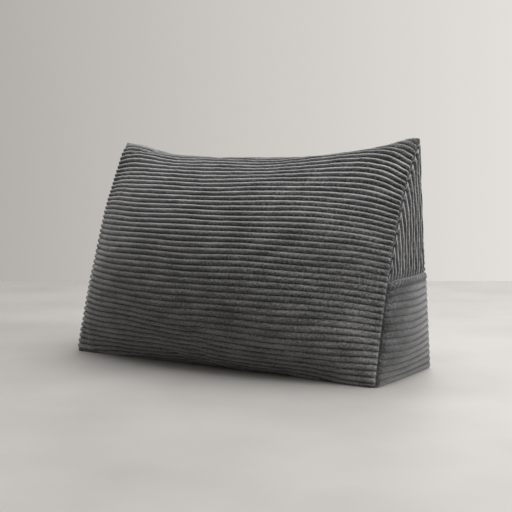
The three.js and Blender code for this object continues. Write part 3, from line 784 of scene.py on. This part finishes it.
pocket_finish = corduroy("pocket_corduroy", POCKET_SHADED_GROOVE_GREY, POCKET_SHADED_CREST_GREY,
                         POCKET_TUFT_LENGTH, POCKET_GRAIN)
pocket.data.materials.append(pocket_finish)
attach(pocket, "root")
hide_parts("side_pocket")


# The setting: a pale floor that ends in front of a pale wall, soft light from overhead, from behind, from a
# window at the right and a little from in front, a pale room all round, and a camera at the photograph's
# place.

CAMERA_PLACE = (1.0245, -1.541, 0.3402)
CAMERA_TILT = math.radians(-4.9156)
CAMERA_HEADING = math.radians(33.134)
CAMERA_LENS = 74.92  # millimetres
SENSOR_WIDTH = 36  # millimetres
VIEW_HALF_WIDTH = SENSOR_WIDTH / 2 / CAMERA_LENS  # tangent of half the angle of view
FLOOR_FAR = 3.10  # from below the camera to the far edge of the floor
FLOOR_NEAR = -7.0
FLOOR_HALF_WIDTH = 7.0
FLOOR_GREY = (0.240, 0.234, 0.225, 1)
FLOOR_STAIN_GREY = (0.190, 0.184, 0.176, 1)
STAINS_PER_METRE = 4.0
STAIN_DETAIL = 6.0
STAIN_FROM = 0.35  # noise above this is stained,
STAIN_CONTRAST = 2.0  # and wholly so at 0.5 more
WALL_LEFT = (0.445, 0.429, 0.403, 1)  # the wall's colour at the left and the right edge of the picture
WALL_RIGHT = (0.767, 0.745, 0.714, 1)
ROOM_BEHIND = 1.10  # brightness of the room behind the camera, against the wall
ROOM_ABOVE = 0.45  # brightness added overhead and at the right
ROOM_RIGHT = 0.4
ROOM_LEFT = 0.50  # brightness of the left side, against the rest
BEHIND_TO_WALL = (-0.3, 0.5)  # shares of the way to the wall over which the room changes
AHEAD_TO_SIDE = (0.3, 0.8)  # and shares of the way up, right or left

camera = bpy.data.objects.new("camera", bpy.data.cameras.new("camera"))
camera.data.lens = CAMERA_LENS
camera.data.sensor_width = SENSOR_WIDTH
camera.location = CAMERA_PLACE
camera.rotation_euler = (math.pi / 2 + CAMERA_TILT, 0, CAMERA_HEADING)
bpy.context.scene.collection.objects.link(camera)
bpy.context.scene.camera = camera

to_right = np.array([math.cos(CAMERA_HEADING), math.sin(CAMERA_HEADING)])
to_wall = np.array([-math.sin(CAMERA_HEADING), math.cos(CAMERA_HEADING)])
below_camera = np.array(CAMERA_PLACE[:2])
floor_sides = np.array([(-1, FLOOR_NEAR), (1, FLOOR_NEAR), (1, FLOOR_FAR), (-1, FLOOR_FAR)])
floor_plan = below_camera + floor_sides[:, :1] * FLOOR_HALF_WIDTH * to_right + floor_sides[:, 1:] * to_wall
floor_mesh = bpy.data.meshes.new("floor")
floor_mesh.from_pydata(np.column_stack([floor_plan, np.zeros(4)]), [], [(0, 1, 2, 3)])
floor = bpy.data.objects.new("floor", floor_mesh)
bpy.context.scene.collection.objects.link(floor)
floor_material = bpy.data.materials.new("pale_floor")
floor_finish = Finish(floor_material)
floor_place = floor_finish.add("ShaderNodeTexCoord").outputs["Object"]
stain = floor_finish.noise(floor_place, STAINS_PER_METRE, STAIN_DETAIL)
stained = (stain - STAIN_FROM) * STAIN_CONTRAST
floor_shader = floor_finish.add("ShaderNodeBsdfPrincipled", {}, {
    "Base Color": floor_finish.mix(stained, FLOOR_GREY, FLOOR_STAIN_GREY),
    "Roughness": 0.55,
    "Specular IOR Level": 0.25,
})
floor_finish.add("ShaderNodeOutputMaterial", {}, {"Surface": floor_shader.outputs["BSDF"]})
floor_mesh.materials.append(floor_material)

world = bpy.data.worlds.new("soft_room")
bpy.context.scene.world = world
room = Finish(world)
direction = room.add("ShaderNodeTexCoord").outputs["Generated"]


def facing(way):
    """Share of a direction that goes a way: their dot product."""
    product = room.add("ShaderNodeVectorMath", {"operation": "DOT_PRODUCT"}, {0: direction, 1: way})
    return Value(product.outputs["Value"])


def between(value, start, stop, first, last):
    """A value eased from first, where the given one is at start, to last, where it is at stop."""
    settings = {"interpolation_type": "SMOOTHSTEP"}
    sockets = {"Value": value, "From Min": start, "From Max": stop, "To Min": first, "To Max": last}
    return Value(room.add("ShaderNodeMapRange", settings, sockets).outputs["Result"])


wall_share = facing((*to_right, 0)) * (0.5 / VIEW_HALF_WIDTH) + 0.5
wall_colour = room.mix(wall_share, WALL_LEFT, WALL_RIGHT)
ahead = between(facing((*to_wall, 0)), *BEHIND_TO_WALL, ROOM_BEHIND, 1)
overhead = between(facing((0, 0, 1)), *AHEAD_TO_SIDE, 0, ROOM_ABOVE)
right_hand = between(facing((*to_right, 0)), *AHEAD_TO_SIDE, 0, ROOM_RIGHT)
left_hand = between(facing((*-to_right, 0)), *AHEAD_TO_SIDE, 1, ROOM_LEFT)
brightness = (ahead + overhead + right_hand) * left_hand
lit_wall = {0: wall_colour, "Scale": brightness}
room_colour = room.add("ShaderNodeVectorMath", {"operation": "SCALE"}, lit_wall)
background = room.add("ShaderNodeBackground", {}, {"Color": room_colour.outputs[0], "Strength": 1.0})
room.add("ShaderNodeOutputWorld", {}, {"Surface": background.outputs["Background"]})

# Soft lights that face the origin: name, place, width, power in watts
LIGHTS = [
    ("ceiling_light", (0.4, 0.10, 2.2), 2.2, 60),
    ("back_light", (0.0, 1.5, 1.8), 2.0, 50),
    ("window_light", (2.2, 0.0, 1.1), 1.4, 33),
    ("front_light", (0.2, -1.2, 2.0), 2.0, 8),
]
for name, place, width, power in LIGHTS:
    lamp = bpy.data.lights.new(name, "AREA")
    lamp.shape = "SQUARE"
    lamp.size = width
    lamp.energy = power
    light = bpy.data.objects.new(name, lamp)
    light.location = place
    light.rotation_euler = (-light.location).to_track_quat("-Z", "Y").to_euler()
    bpy.context.scene.collection.objects.link(light)

bpy.context.scene.view_settings.view_transform = "Standard"
